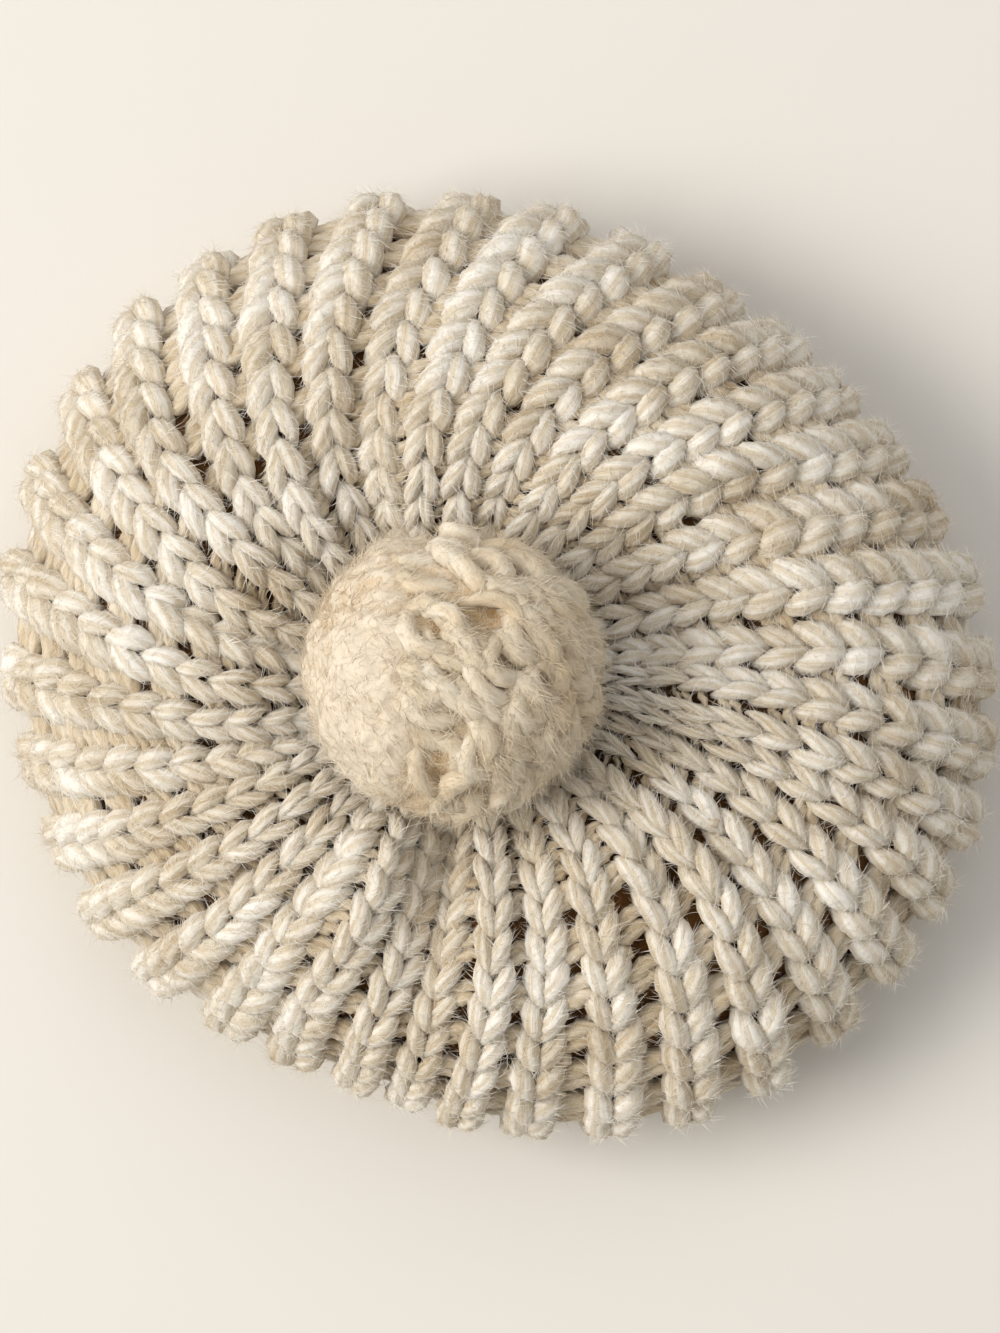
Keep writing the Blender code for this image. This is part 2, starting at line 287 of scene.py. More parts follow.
def meridian_rows(angles):
    """Rows of points from the gather over the rim to the hem and down the band, and rib heights."""
    radius = RIM_SHARE * (CROWN_HIGH.x - CROWN_LOW.x) / 2
    height = HEIGHT_SHARE * CROWN_HIGH.z
    band_radius = BAND_HIGH.x
    rows, ribs = [], []
    far = radius * round_column(3, angles)
    foot = angles + round_column(1, angles)
    for _, reach, level, rib in TOP_SECTIONS:
        lean = round_column(2, angles) * min(1.0, (1 - reach) / (1 - LEAN_END_SHARE))
        turned = np.radians(foot + lean)
        away = GATHER_RADIUS + (far - GATHER_RADIUS) * reach
        z = level * height + fold_height(angles, np.full_like(angles, reach))
        rows.append(np.stack([GATHER[0] + np.cos(turned) * away, GATHER[1] + np.sin(turned) * away, z], 1))
        ribs.append(rib)
    turned = np.radians(foot)
    rim = np.stack([GATHER[0] + np.cos(turned) * far, GATHER[1] + np.sin(turned) * far], 1)
    facing = np.stack([np.cos(np.radians(angles)), np.sin(np.radians(angles))], 1)
    hem = facing * (band_radius + HEM_EASE)
    for _, reach, level, rib in UNDER_SECTIONS:
        flat = hem + (rim - hem) * reach
        rows.append(np.column_stack([flat, np.full(len(angles), level * RIM_HEIGHT)]))
        ribs.append(rib)
    hem_z, foot_z = BAND_HIGH.z, BAND_LOW.z
    for away, z, rib in (
        (band_radius + HEM_EASE, hem_z, 0.2),
        (band_radius - RIB_DEPTH, hem_z - HEM_EASE, 0.3),
        (band_radius - RIB_DEPTH, (hem_z + foot_z) / 2, 0.6),
        (band_radius - RIB_DEPTH, foot_z, 0.6),
    ):
        rows.append(np.column_stack([facing * away, np.full(len(angles), z)]))
        ribs.append(rib)
    return np.array(rows), np.array(ribs)


class Surface:
    """The knitted surface by rib angle in degrees and course: 0 at the gather, 1 at the rim, 2 at
    the hem and 3 at the band's lower edge, evenly by length between these."""

    ANGLES = 720
    STEPS = 72
    FINE = 12

    def __init__(self):
        angles = np.arange(self.ANGLES) * 360 / self.ANGLES
        rows, ribs = meridian_rows(angles)
        rim, hem, last = len(TOP_SECTIONS), len(TOP_SECTIONS) + len(UNDER_SECTIONS), len(rows) - 1
        places = np.arange(last * self.FINE + 1) / self.FINE
        dense = through_rows(rows, places)
        dense_ribs = through_rows(ribs, places)
        length = np.concatenate([
            np.zeros((1, self.ANGLES)),
            np.cumsum(np.linalg.norm(np.diff(dense, axis=0), axis=2), axis=0),
        ])
        self.points = np.zeros((3 * self.STEPS + 1, self.ANGLES, 3))
        self.ribs = np.zeros((3 * self.STEPS + 1, self.ANGLES))
        for part, (first, end) in enumerate(((0, rim), (rim, hem), (hem, last))):
            window_of = slice(first * self.FINE, end * self.FINE + 1)
            for i in range(self.ANGLES):
                run = length[window_of, i]
                at = np.linspace(run[0], run[-1], self.STEPS + 1)
                into = slice(part * self.STEPS, (part + 1) * self.STEPS + 1)
                for axis in range(3):
                    self.points[into, i, axis] = np.interp(at, run, dense[window_of, i, axis])
                self.ribs[into, i] = np.interp(at, run, dense_ribs[window_of])
        along = np.gradient(self.points, axis=0)
        around = np.roll(self.points, -1, axis=1) - np.roll(self.points, 1, axis=1)
        pitch = np.linalg.norm(around, axis=2) / 2 * self.ANGLES / RIB_COUNT
        normal = np.cross(along, around)
        self.normals = normal / np.linalg.norm(normal, axis=2, keepdims=True)
        self.around = around / np.linalg.norm(around, axis=2, keepdims=True)
        self.pitch = pitch

    def read(self, grid, angles, courses):
        """A grid's values at arrays of angles and courses."""
        column = (angles % 360) / 360 * self.ANGLES
        row = np.clip(courses * self.STEPS, 0, 3 * self.STEPS - 1e-6)
        i, j = row.astype(int), column.astype(int)
        a, b = row - i, column - j
        if grid.ndim == 3:
            a, b = a[..., None], b[..., None]
        j = j % self.ANGLES
        k = (j + 1) % self.ANGLES
        low = grid[i, j] * (1 - b) + grid[i, k] * b
        high = grid[i + 1, j] * (1 - b) + grid[i + 1, k] * b
        return low * (1 - a) + high * a

    def place(self, angles, courses, across, outward):
        """Points at angles and courses, moved across the ribs and outward, in metres."""
        point = self.read(self.points, angles, courses)
        sideways = self.read(self.around, angles, courses)
        normal = self.read(self.normals, angles, courses)
        return point + sideways * across[..., None] + normal * outward[..., None]


surface = Surface()


# Yarn from paths.


YARN_SOCKETS = (
    ("Geometry", "NodeSocketGeometry"),
    ("Rings", "NodeSocketInt"),
    ("Points Round", "NodeSocketInt"),
    ("Plies", "NodeSocketInt"),
    ("Ply Depth", "NodeSocketFloat"),
    ("Unevenness", "NodeSocketFloat"),
    ("Twist Pitch", "NodeSocketFloat"),
    ("Yarn Radius", "NodeSocketFloat"),
    ("Seed", "NodeSocketInt"),
    ("Material", "NodeSocketMaterial"),
)
HAIR_SOCKETS = (
    ("Geometry", "NodeSocketGeometry"),
    ("Density", "NodeSocketFloat"),
    ("Shortest", "NodeSocketFloat"),
    ("Longest", "NodeSocketFloat"),
    ("Thickness Share", "NodeSocketFloat"),
    ("Least Lean", "NodeSocketFloat"),
    ("Most Lean", "NodeSocketFloat"),
    ("Middle", "NodeSocketVector"),
    ("Flatness", "NodeSocketFloat"),
    ("Least Outward", "NodeSocketFloat"),
    ("Spread", "NodeSocketFloat"),
    ("Straight", "NodeSocketBool"),
    ("Seed", "NodeSocketInt"),
    ("Material", "NodeSocketMaterial"),
)

# The yarn swells and thins about every 2.4 mm, as hand-spun wool does.
SWELL_SCALE = 420.0


def geometry_tree(name, sockets):
    """An empty Geometry Nodes tree with some inputs, and those inputs."""
    tree = bpy.data.node_groups.new(name, "GeometryNodeTree")
    for socket, kind in sockets:
        tree.interface.new_socket(socket, in_out="INPUT", socket_type=kind)
    tree.interface.new_socket("Geometry", in_out="OUTPUT", socket_type="NodeSocketGeometry")
    return tree, tree.nodes.new("NodeGroupInput").outputs


def plied_yarn_tree():
    """Turns curves into plied yarn: a lobed round, twisted as it runs, with closed ends."""
    tree, given = geometry_tree("plied_yarn", YARN_SOCKETS)
    # Each curve is one strand, with its own shade and its own start of the twist.
    smooth = add_node(tree, "GeometryNodeCurveSplineType", {"spline_type": "CATMULL_ROM"},
                      links={"Curve": given["Geometry"]})
    rings = add_node(tree, "GeometryNodeResampleCurve", {"mode": "COUNT"},
                     links={"Curve": smooth.outputs[0], "Count": given["Rings"]})
    number = add_node(tree, "GeometryNodeInputIndex")
    chance = add_node(tree, "FunctionNodeRandomValue", {"data_type": "FLOAT"},
                      links={"ID": number.outputs[0], "Seed": given["Seed"]})
    shade = add_node(tree, "GeometryNodeStoreNamedAttribute", {"data_type": "FLOAT", "domain": "CURVE"},
                     {"Name": "shade"}, {"Geometry": rings.outputs[0], "Value": chance.outputs[1]})
    run = add_node(tree, "GeometryNodeSplineParameter")
    own = add_node(tree, "GeometryNodeInputNamedAttribute", {"data_type": "FLOAT"}, {"Name": "shade"})
    apart = add_node(tree, "ShaderNodeMath", {"operation": "MULTIPLY_ADD"}, {1: 0.7},
                     {0: own.outputs[0], 2: run.outputs["Length"]})
    on_points = {"data_type": "FLOAT_VECTOR", "domain": "POINT"}
    store_run = add_node(tree, "GeometryNodeStoreNamedAttribute", {"data_type": "FLOAT", "domain": "POINT"},
                         {"Name": "run"}, {"Geometry": shade.outputs[0], "Value": apart.outputs[0]})
    tangent = add_node(tree, "GeometryNodeInputTangent")
    lay = add_node(tree, "GeometryNodeStoreNamedAttribute", on_points, {"Name": "lay"},
                   {"Geometry": store_run.outputs[0], "Value": tangent.outputs[0]})
    turns = add_node(tree, "ShaderNodeMath", {"operation": "DIVIDE"},
                     links={0: run.outputs["Length"], 1: given["Twist Pitch"]})
    twist = add_node(tree, "ShaderNodeMath", {"operation": "MULTIPLY"}, {1: math.tau},
                     {0: turns.outputs[0]})
    start = add_node(tree, "ShaderNodeMath", {"operation": "MULTIPLY_ADD"}, {1: math.tau},
                     {0: own.outputs[0], 2: twist.outputs[0]})
    tilted = add_node(tree, "GeometryNodeSetCurveTilt",
                      links={"Curve": lay.outputs[0], "Tilt": start.outputs[0]})
    # The strand's section is a round with a low lobe for each ply.
    circle = add_node(tree, "GeometryNodeCurvePrimitiveCircle", values={"Radius": 1.0},
                      links={"Resolution": given["Points Round"]})
    round_share = add_node(tree, "GeometryNodeSplineParameter")
    lobes = add_node(tree, "ShaderNodeMath", {"operation": "MULTIPLY"}, {1: math.tau},
                     {0: round_share.outputs["Factor"]})
    plies = add_node(tree, "ShaderNodeMath", {"operation": "MULTIPLY"},
                     links={0: lobes.outputs[0], 1: given["Plies"]})
    wave = add_node(tree, "ShaderNodeMath", {"operation": "COSINE"}, links={0: plies.outputs[0]})
    bulge = add_node(tree, "ShaderNodeMath", {"operation": "MULTIPLY_ADD"}, {2: 1.0},
                     {0: wave.outputs[0], 1: given["Ply Depth"]})
    position = add_node(tree, "GeometryNodeInputPosition")
    lobed = add_node(tree, "ShaderNodeVectorMath", {"operation": "SCALE"},
                     links={0: position.outputs[0], "Scale": bulge.outputs[0]})
    profile = add_node(tree, "GeometryNodeSetPosition",
                       links={"Geometry": circle.outputs[0], "Position": lobed.outputs[0]})
    section = add_node(tree, "GeometryNodeStoreNamedAttribute", on_points, {"Name": "section"},
                       {"Geometry": profile.outputs[0], "Value": position.outputs[0]})
    radius = add_node(tree, "GeometryNodeInputRadius")
    skin = add_node(tree, "GeometryNodeCurveToMesh", values={"Fill Caps": True},
                    links={"Curve": tilted.outputs[0], "Profile Curve": section.outputs[0],
                           "Scale": radius.outputs[0]})
    # The materials read the place in the section and along the run, as if the yarn were straight.
    read_section = add_node(tree, "GeometryNodeInputNamedAttribute", {"data_type": "FLOAT_VECTOR"},
                            {"Name": "section"})
    read_run = add_node(tree, "GeometryNodeInputNamedAttribute", {"data_type": "FLOAT"}, {"Name": "run"})
    wide = add_node(tree, "ShaderNodeVectorMath", {"operation": "SCALE"},
                    links={0: read_section.outputs[0], "Scale": given["Yarn Radius"]})
    split = add_node(tree, "ShaderNodeSeparateXYZ", links={0: wide.outputs[0]})
    straight = add_node(tree, "ShaderNodeCombineXYZ",
                        links={0: split.outputs[0], 1: split.outputs[1], 2: read_run.outputs[0]})
    yarn = add_node(tree, "GeometryNodeStoreNamedAttribute", on_points, {"Name": "yarn"},
                    {"Geometry": skin.outputs[0], "Value": straight.outputs[0]})
    place = add_node(tree, "GeometryNodeInputPosition")
    swell = add_node(tree, "ShaderNodeTexNoise", values={"Scale": SWELL_SCALE, "Detail": 1.0},
                     links={"Vector": place.outputs[0]})
    swell_middle = add_node(tree, "ShaderNodeMath", {"operation": "SUBTRACT"}, {1: 0.5},
                            {0: swell.outputs[0]})
    swell_size = add_node(tree, "ShaderNodeMath", {"operation": "MULTIPLY"},
                          links={0: swell_middle.outputs[0], 1: given["Unevenness"]})
    facing = add_node(tree, "GeometryNodeInputNormal")
    outward = add_node(tree, "ShaderNodeVectorMath", {"operation": "SCALE"},
                       links={0: facing.outputs[0], "Scale": swell_size.outputs[0]})
    uneven = add_node(tree, "GeometryNodeSetPosition",
                      links={"Geometry": yarn.outputs[0], "Offset": outward.outputs[0]})
    soft = add_node(tree, "GeometryNodeSetShadeSmooth", links={"Geometry": uneven.outputs[0]})
    real = add_node(tree, "GeometryNodeRealizeInstances", links={"Geometry": soft.outputs[0]})
    finish = add_node(tree, "GeometryNodeSetMaterial",
                      links={"Geometry": real.outputs[0], "Material": given["Material"]})
    add_node(tree, "NodeGroupOutput", links={"Geometry": finish.outputs[0]})
    return tree


def hair_tree():
    """Scatters fine hairs, each a closed tapered form, over a surface, lying the way its yarn runs."""
    tree, given = geometry_tree("wool_hairs", HAIR_SOCKETS)
    # Outward is the way that a ball about the middle faces, or a flat form where Flatness is over 1.
    facing = add_node(tree, "GeometryNodeInputNormal")
    spot = add_node(tree, "GeometryNodeInputPosition")
    away = add_node(tree, "ShaderNodeVectorMath", {"operation": "SUBTRACT"},
                    links={0: spot.outputs[0], 1: given["Middle"]})
    flat = add_node(tree, "ShaderNodeCombineXYZ", values={0: 1.0, 1: 1.0}, links={2: given["Flatness"]})
    scaled = add_node(tree, "ShaderNodeVectorMath", {"operation": "MULTIPLY"},
                      links={0: away.outputs[0], 1: flat.outputs[0]})
    out_of_it = add_node(tree, "ShaderNodeVectorMath", {"operation": "NORMALIZE"},
                         links={0: scaled.outputs[0]})
    outward = add_node(tree, "ShaderNodeVectorMath", {"operation": "DOT_PRODUCT"},
                       links={0: facing.outputs[0], 1: out_of_it.outputs[0]})
    chosen = add_node(tree, "FunctionNodeCompare", {"data_type": "FLOAT", "operation": "GREATER_THAN"},
                      links={0: outward.outputs["Value"], 1: given["Least Outward"]})
    points = add_node(tree, "GeometryNodeDistributePointsOnFaces", {"distribute_method": "RANDOM"},
                      links={"Mesh": given["Geometry"], "Selection": chosen.outputs[0],
                             "Density": given["Density"], "Seed": given["Seed"]})
    # A loose hair is bent. The nap is straight, so that each of its many hairs has four triangles.
    bend = add_node(tree, "GeometryNodeCurveQuadraticBezier", values={
        "Resolution": 2, "Start": (0, 0, 0), "Middle": (0, 0, 0.5), "End": (0.6, 0.2, 0.6)})
    share = add_node(tree, "GeometryNodeSplineParameter")
    taper = add_node(tree, "ShaderNodeMath", {"operation": "MULTIPLY_ADD"}, {1: -0.8, 2: 1.0},
                     {0: share.outputs["Factor"]})
    round_hair = add_node(tree, "GeometryNodeCurvePrimitiveCircle", values={"Resolution": 3},
                          links={"Radius": given["Thickness Share"]})
    hair = add_node(tree, "GeometryNodeCurveToMesh", values={"Fill Caps": True},
                    links={"Curve": bend.outputs[0], "Profile Curve": round_hair.outputs[0],
                           "Scale": taper.outputs[0]})
    spike = add_node(tree, "GeometryNodeMeshCone", {"fill_type": "NGON"},
                     {"Vertices": 3, "Side Segments": 1, "Radius Top": 0.0, "Depth": 1.0},
                     {"Radius Bottom": given["Thickness Share"]})
    either = add_node(tree, "GeometryNodeSwitch", {"input_type": "GEOMETRY"},
                      links={"Switch": given["Straight"], "False": hair.outputs[0],
                             "True": spike.outputs[0]})
    # A hair leans over and points along the yarn, give or take the spread.
    lean = add_node(tree, "FunctionNodeRandomValue", {"data_type": "FLOAT"},
                    links={2: given["Least Lean"], 3: given["Most Lean"], "Seed": given["Seed"]})
    back = add_node(tree, "ShaderNodeMath", {"operation": "MULTIPLY"}, {1: -1.0}, {0: given["Spread"]})
    spin = add_node(tree, "FunctionNodeRandomValue", {"data_type": "FLOAT"}, {"Seed": 5},
                    {2: back.outputs[0], 3: given["Spread"]})
    tip = add_node(tree, "ShaderNodeCombineXYZ", links={1: lean.outputs[1], 2: spin.outputs[1]})
    tip_turn = add_node(tree, "FunctionNodeEulerToRotation", links={0: tip.outputs[0]})
    upright = add_node(tree, "FunctionNodeAlignRotationToVector", {"axis": "Z"},
                       links={"Vector": points.outputs["Normal"]})
    lay = add_node(tree, "GeometryNodeInputNamedAttribute", {"data_type": "FLOAT_VECTOR"}, {"Name": "lay"})
    laid = add_node(tree, "FunctionNodeAlignRotationToVector", {"axis": "X", "pivot_axis": "Z"},
                    links={"Rotation": upright.outputs[0], "Vector": lay.outputs[0]})
    turned = add_node(tree, "FunctionNodeRotateRotation", {"rotation_space": "LOCAL"},
                      links={"Rotation": laid.outputs[0], "Rotate By": tip_turn.outputs[0]})
    length = add_node(tree, "FunctionNodeRandomValue", {"data_type": "FLOAT"}, {"Seed": 9},
                      {2: given["Shortest"], 3: given["Longest"]})
    set_out = add_node(tree, "GeometryNodeInstanceOnPoints",
                       links={"Points": points.outputs[0], "Instance": either.outputs[0],
                              "Rotation": turned.outputs[0], "Scale": length.outputs[1]})
    real = add_node(tree, "GeometryNodeRealizeInstances", links={"Geometry": set_out.outputs[0]})
    finish = add_node(tree, "GeometryNodeSetMaterial",
                      links={"Geometry": real.outputs[0], "Material": given["Material"]})
    add_node(tree, "NodeGroupOutput", links={"Geometry": finish.outputs[0]})
    return tree


def link_new(name, data):
    """An object for some data, in the scene."""
    obj = bpy.data.objects.new(name, data)
    bpy.context.scene.collection.objects.link(obj)
    return obj


def with_nodes(source, tree, name, inputs, material):
    """The source object as the node tree makes it, as a plain mesh. The source is removed."""
    modifier = source.modifiers.new("make", "NODES")
    modifier.node_group = tree
    for item in tree.interface.items_tree:
        if item.item_type == "SOCKET" and item.in_out == "INPUT" and item.name in inputs:
            modifier[item.identifier] = inputs[item.name]
        if item.item_type == "SOCKET" and item.in_out == "INPUT" and item.name == "Material":
            modifier[item.identifier] = material
    made = source.evaluated_get(bpy.context.evaluated_depsgraph_get())
    mesh = bpy.data.meshes.new_from_object(made)
    mesh.name = name
    source.modifiers.remove(modifier)
    bpy.data.objects.remove(source, do_unlink=True)
    if not mesh.materials:
        mesh.materials.append(material)
    return link_new(name, mesh)


def yarn_object(name, paths, inputs, material):
    """Plied yarn along paths, each an array of x, y, z and radius."""
    curve = bpy.data.curves.new(name + "_paths", "CURVE")
    curve.dimensions = "3D"
    for path in paths:
        spline = curve.splines.new("POLY")
        spline.points.add(len(path) - 1)
        spline.points.foreach_set("co", np.column_stack([path[:, :3], np.ones(len(path))]).ravel())
        spline.points.foreach_set("radius", path[:, 3])
    source = link_new(name + "_paths", curve)
    return with_nodes(source, plied_yarn_tree(), name, inputs, material)


def squash_on_floor(mesh):
    """Presses what would go below the floor flat on it."""
    places = np.zeros(len(mesh.vertices) * 3)
    mesh.vertices.foreach_get("co", places)
    heights = places[2::3]
    pressed = PRESSED_HEIGHT * np.exp((heights - PRESSED_HEIGHT) / PRESSED_HEIGHT)
    places[2::3] = np.where(heights < PRESSED_HEIGHT, pressed, heights)
    mesh.vertices.foreach_set("co", places)
    mesh.update()


def settle(piece, node):
    """Rides a finished piece on the beret's one body, in a node's place."""
    squash_on_floor(piece.data)
    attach(piece, "root")
    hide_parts(node)


# Materials.


def wool_material(name, colours, plies, ply_weight, shade_weight, softness):
    """Spun sheep's wool: matt and hairy, with painted shade darker between its plies, and softly lit
    through its edges.
    """
    material = bpy.data.materials.new(name)
    material.use_nodes = True
    tree = material.node_tree
    shader = tree.nodes["Principled BSDF"]
    shader.inputs["Roughness"].default_value = 0.95
    shader.inputs["Specular IOR Level"].default_value = 0.10
    shader.inputs["Sheen Weight"].default_value = 0.45
    shader.inputs["Sheen Roughness"].default_value = 0.4
    shader.inputs["Sheen Tint"].default_value = linear("#FFF9EE")
    shader.inputs["Subsurface Weight"].default_value = softness
    shader.inputs["Subsurface Radius"].default_value = (1.0, 0.85, 0.7)
    shader.inputs["Subsurface Scale"].default_value = 0.0022
    # The attribute holds the place in the yarn's own section and along its run, in metres.
    yarn = add_node(tree, "ShaderNodeAttribute", {"attribute_name": "yarn"})
    part = add_node(tree, "ShaderNodeSeparateXYZ", links={0: yarn.outputs["Vector"]})
    turn = add_node(tree, "ShaderNodeMath", {"operation": "ARCTAN2"},
                    links={0: part.outputs[1], 1: part.outputs[0]})
    # Hand-spun plies aren't even: they wander and swell about every 5 mm.
    wander = add_node(tree, "ShaderNodeTexNoise", values={"Scale": 200.0, "Detail": 1.0},
                      links={"Vector": yarn.outputs["Vector"]})
    uneven = add_node(tree, "ShaderNodeMath", {"operation": "MULTIPLY"}, {1: 5.0},
                      {0: wander.outputs["Fac"]})
    many = add_node(tree, "ShaderNodeMath", {"operation": "MULTIPLY_ADD"}, {1: plies},
                    {0: turn.outputs[0], 2: uneven.outputs[0]})
    wave = add_node(tree, "ShaderNodeMath", {"operation": "COSINE"}, links={0: many.outputs[0]})
    ply = add_node(tree, "ShaderNodeMapRange", {"interpolation_type": "SMOOTHSTEP"},
                   {"From Min": -1.0, "From Max": 0.8}, {"Value": wave.outputs[0]})
    # Single fibres are too fine to show, so the streaks are tufts of fibres 0.5 mm wide and 9 mm long.
    fine = add_node(tree, "ShaderNodeMapping", values={"Scale": (2200, 2200, 110)},
                    links={"Vector": yarn.outputs["Vector"]})
    streaks = add_node(tree, "ShaderNodeTexNoise", values={"Scale": 1.0, "Detail": 2.0, "Roughness": 0.5},
                       links={"Vector": fine.outputs[0]})
    # Loose fibres lie over the plies in curls about 1.5 mm across: the contour lines of a bent noise.
    place = add_node(tree, "ShaderNodeTexCoord")
    curls = add_node(tree, "ShaderNodeTexNoise", values={"Scale": 620.0, "Detail": 2.0, "Distortion": 1.6},
                     links={"Vector": place.outputs["Object"]})
    from_line = add_node(tree, "ShaderNodeMath", {"operation": "SUBTRACT"}, {1: 0.5},
                         {0: curls.outputs["Fac"]})
    near_line = add_node(tree, "ShaderNodeMath", {"operation": "ABSOLUTE"}, links={0: from_line.outputs[0]})
    fibre = add_node(tree, "ShaderNodeMapRange", {"interpolation_type": "SMOOTHSTEP"},
                     {"From Min": 0.0, "From Max": 0.06, "To Min": 1.0, "To Max": 0.0},
                     {"Value": near_line.outputs[0]})
    # Uneven spinning and grease leave patches about 25 mm wide that are a little darker.
    broad = add_node(tree, "ShaderNodeTexNoise", values={"Scale": 40.0, "Detail": 2.0},
                     links={"Vector": place.outputs["Object"]})
    shade = add_node(tree, "ShaderNodeAttribute", {"attribute_name": "shade"})
    tone = add_node(tree, "ShaderNodeMath", {"operation": "MULTIPLY"}, {1: 0.5}, {0: broad.outputs["Fac"]})
    # Painted shade: the ply term darkens the colour between the plies. The same term also drives the bump
    # below.
    for weight, source in ((0.36, streaks.outputs["Fac"]), (shade_weight, shade.outputs["Fac"]),
                           (ply_weight, ply.outputs[0]), (0.07, fibre.outputs[0])):
        tone = add_node(tree, "ShaderNodeMath", {"operation": "MULTIPLY_ADD"}, {1: weight},
                        {0: source, 2: tone.outputs[0]})
    spread = add_node(tree, "ShaderNodeMapRange", values={"From Min": 0.34, "From Max": 0.74},
                      links={"Value": tone.outputs[0]})
    ramp = add_node(tree, "ShaderNodeValToRGB", links={"Fac": spread.outputs[0]})
    ramp.color_ramp.elements[0].color = linear(colours[0])
    ramp.color_ramp.elements[1].color = linear(colours[2])
    middle = ramp.color_ramp.elements.new(0.5)
    middle.color = linear(colours[1])
    tree.links.new(ramp.outputs[0], shader.inputs["Base Color"])
    relief = add_node(tree, "ShaderNodeMath", {"operation": "MULTIPLY"}, {1: ply_weight * 3.5},
                      {0: ply.outputs[0]})
    for weight, source in ((0.40, streaks.outputs["Fac"]), (0.12, fibre.outputs[0])):
        relief = add_node(tree, "ShaderNodeMath", {"operation": "MULTIPLY_ADD"}, {1: weight},
                          {0: source, 2: relief.outputs[0]})
    bump = add_node(tree, "ShaderNodeBump", values={"Strength": 0.6, "Distance": 0.0006},
                    links={"Height": relief.outputs[0]})
    tree.links.new(bump.outputs[0], shader.inputs["Normal"])
    return material


WOOLS = [
    # name, colours from deep to high, plies, ply weight, shade weight, softness
    # Loosely spun undyed wool: cream and matt, with painted shade a little darker between its plies and at
    # its core.
    ("ecru_chunky_wool", ("#B7A281", "#DACDB6", "#F4EEE3"), 5, 0.14, 0.10, 0.2),
    # The same wool's loose fibres, painted paler than the yarn: a painted bloom, as light shines through
    # them.
    ("ecru_loose_fibres_painted_bloom", ("#DDD0BC", "#EFE8DA", "#FCF9F3"), 5, 0.0, 0.20, 0.2),
    # The same wool between the ribs and inside, painted a darker, warmer tan: painted shade where less
    # light gets in.
    ("ecru_wool_painted_channel_shade", ("#A68F6E", "#CFBD9F", "#E9DDC8"), 4, 0.10, 0.10, 0.15),
    # The wall at the back of the gaps, painted brown as painted shade, as light that bounces about in wool
    # turns brown.
    ("wool_painted_gap_shade", ("#523216", "#7A532B", "#987242"), 4, 0.10, 0.10, 0.0),
    # The pompom's softer yarn, hardly twisted: even and creamy.
    ("ecru_pompom_yarn", ("#CBB490", "#E3D4BA", "#F2EADB"), 3, 0.04, 0.10, 0.2),
    # The pompom's fleece under its yarn: painted ochre in its hollows as painted shade, and cream towards
    # -X, where it is felted.
    ("ecru_pompom_fleece", ("#AA8450", "#D0B68E", "#E4D6C0"), 3, 0.0, 0.42, 0.2),
]


def materials():
    """The beret's materials by name, made once."""
    made = bpy.data.materials
    if WOOLS[0][0] not in made:
        for row in WOOLS:
            wool_material(*row)
    return made


# Stitches.

# Over 1, this draws the stitches closer together near the gather.
GATHERING = 1.25

# How uneven hand knitting is, in metres, or in stitches for the two nudges: a rib's waves and height,
# then the place of one stitch, of one leg and of one bar.
RIB_SWAY = 0.0006
RIB_LIFT = 0.0009
NUDGE = 0.035
STITCH_SWAY = 0.0002
LEG_SWAY = 0.00022
LEG_LIFT = 0.00025
BAR_NUDGE = 0.02
BAR_LIFT = 0.0002
# A rib's waves follow each other at this many radians a course. Its height varies most at the gather.
RIB_WAVES = 9
GATHER_LIFT = 1.7
LIFT_FALL = 1.2
# Ranges of the thickness of a leg and of a bar and of the width of a gap, as shares.
LEG_RANGE = (0.91, 1.07)
BAR_RANGE = (0.93, 1.07)
GAP_RANGE = (0.8, 1.15)

# A channel is never narrower than this on each side, and its bars thin with the ribs' pitch.
LEAST_HALF_CHANNEL = 0.0006
BAR_SHARE = 0.145
GAP_EDGE = 0.0004


def stitch_course(number, count):
    """The course of a stitch on the top."""
    return (number / count) ** GATHERING


def rim_dip(course):
    """How much deeper the channels lie near the rim."""
    return RIM_DIP * window((course - 1) / RIM_DIP_REACH)


def rib_half(angles, course, pitch, sizes):
    """Half the width of a rib, at angles and courses where the ribs have a pitch."""
    share = round_column(4, angles)
    spread = np.clip((pitch - PRESSED_PITCH) / (OPEN_PITCH - PRESSED_PITCH), 0, 1)
    ease = 1 - RIM_EASE * np.clip((course - EASE_START) / EASE_LENGTH, 0, 1)
    widest = sizes.rib_width / 2 * ease * MOST_STRETCH * share
    return np.minimum((PRESSED_SHARE + (share - PRESSED_SHARE) * spread) * pitch / 2, widest)


def leg_paths(ribs, edges, chance, sizes):
    """The two legs of each V stitch of some ribs. Edges are the courses between stitches."""
    table = np.array(LEG)
    paths = []
    for rib in ribs:
        angles = np.full(len(table), (rib + 0.5) * RIB_PITCH)
        sway = chance.normal(0, RIB_SWAY)
        phase = chance.uniform(0, math.tau)
        lift = chance.normal(0, RIB_LIFT)
        for outer, inner in zip(edges[1:], edges[:-1]):
            nudge = chance.normal(0, NUDGE)
            course = np.clip(outer - (table[:, 0] + nudge) * (outer - inner), 0.0, 3.0)
            pitch = surface.read(surface.pitch, angles, course)
            share = surface.read(surface.ribs, angles, course)
            scale = rib_half(angles, course, pitch, sizes) / (sizes.rib_width / 2)
            wander = sway * np.sin(course * RIB_WAVES + phase) + chance.normal(0, STITCH_SWAY)
            for side in (-1, 1):
                size = sizes.yarn_radius * scale
                thick = size * table[:, 3] * chance.uniform(*LEG_RANGE)
                across = side * table[:, 1] * sizes.leg_spread * scale + wander
                across += chance.normal(0, LEG_SWAY)
                out = RIB_DEPTH * share - size + table[:, 2] * size
                out += lift * (GATHER_LIFT - LIFT_FALL * course)
                out += chance.normal(0, LEG_LIFT)
                paths.append(on_surface(angles, course, across, out, thick))
    return paths


def on_surface(angles, course, across, out, thick):
    """A path on the knitted surface, flattened where it would go below the floor."""
    points = surface.place(angles, course, across, out)
    points[:, 2] = np.maximum(points[:, 2], thick + FLOOR_EASE)
    return np.column_stack([points, thick])


